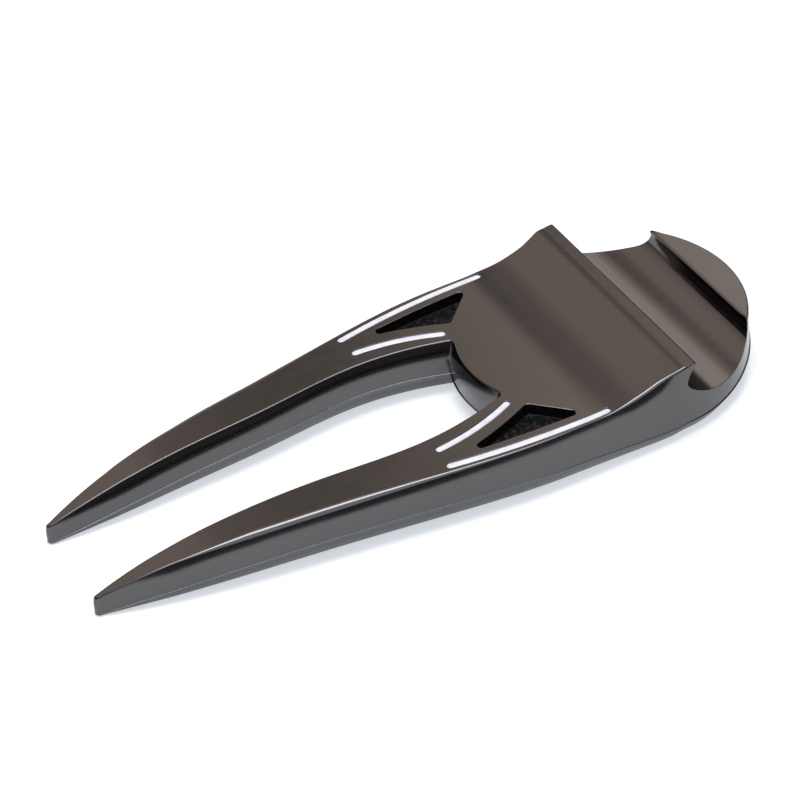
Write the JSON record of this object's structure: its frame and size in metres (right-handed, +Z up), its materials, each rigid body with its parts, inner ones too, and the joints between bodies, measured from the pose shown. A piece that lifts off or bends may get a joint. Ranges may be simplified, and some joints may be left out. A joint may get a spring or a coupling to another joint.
{
  "type": "divot repair tool",
  "caption": "Two-prong golf divot repair tool: a plated cast fork with enamelled lines, a groove that rests a club shaft, and a magnetic ball marker in its underside.",
  "frame": {"origin": "middle of the length and width, on the flat underside", "axes": "+X from the prong tips to the head, +Z up out of the enamelled top, +Y across, towards the right prong seen from the head end"},
  "size_m": [0.0855, 0.0326, 0.0097],
  "materials": {
    "black_nickel": "polished black nickel plate on a zinc casting",
    "white_enamel": "white soft enamel, gloss",
    "black_enamel": "black soft enamel, rough",
    "magnet_nickel": "bright nickel plate on a sintered magnet",
    "marker_nickel": "polished black nickel plate on a steel disc",
    "marker_enamel": "white soft enamel, gloss"
  },
  "bodies": {
    "root": {"fork": "black_nickel", "left_outer_line": "white_enamel", "left_inner_line": "white_enamel", "right_outer_line": "white_enamel", "right_inner_line": "white_enamel", "left_pocket_fill": "black_enamel", "right_pocket_fill": "black_enamel", "magnet": "magnet_nickel"},
    "marker": {"ball_marker": "marker_nickel", "marker_enamel": "marker_enamel"}
  },
  "joints": [
    {"name": "marker_lift", "type": "slide", "parent": "root", "child": "marker", "axis": [0, 0, -1], "range_m": [0, 0.004]}
  ]
}
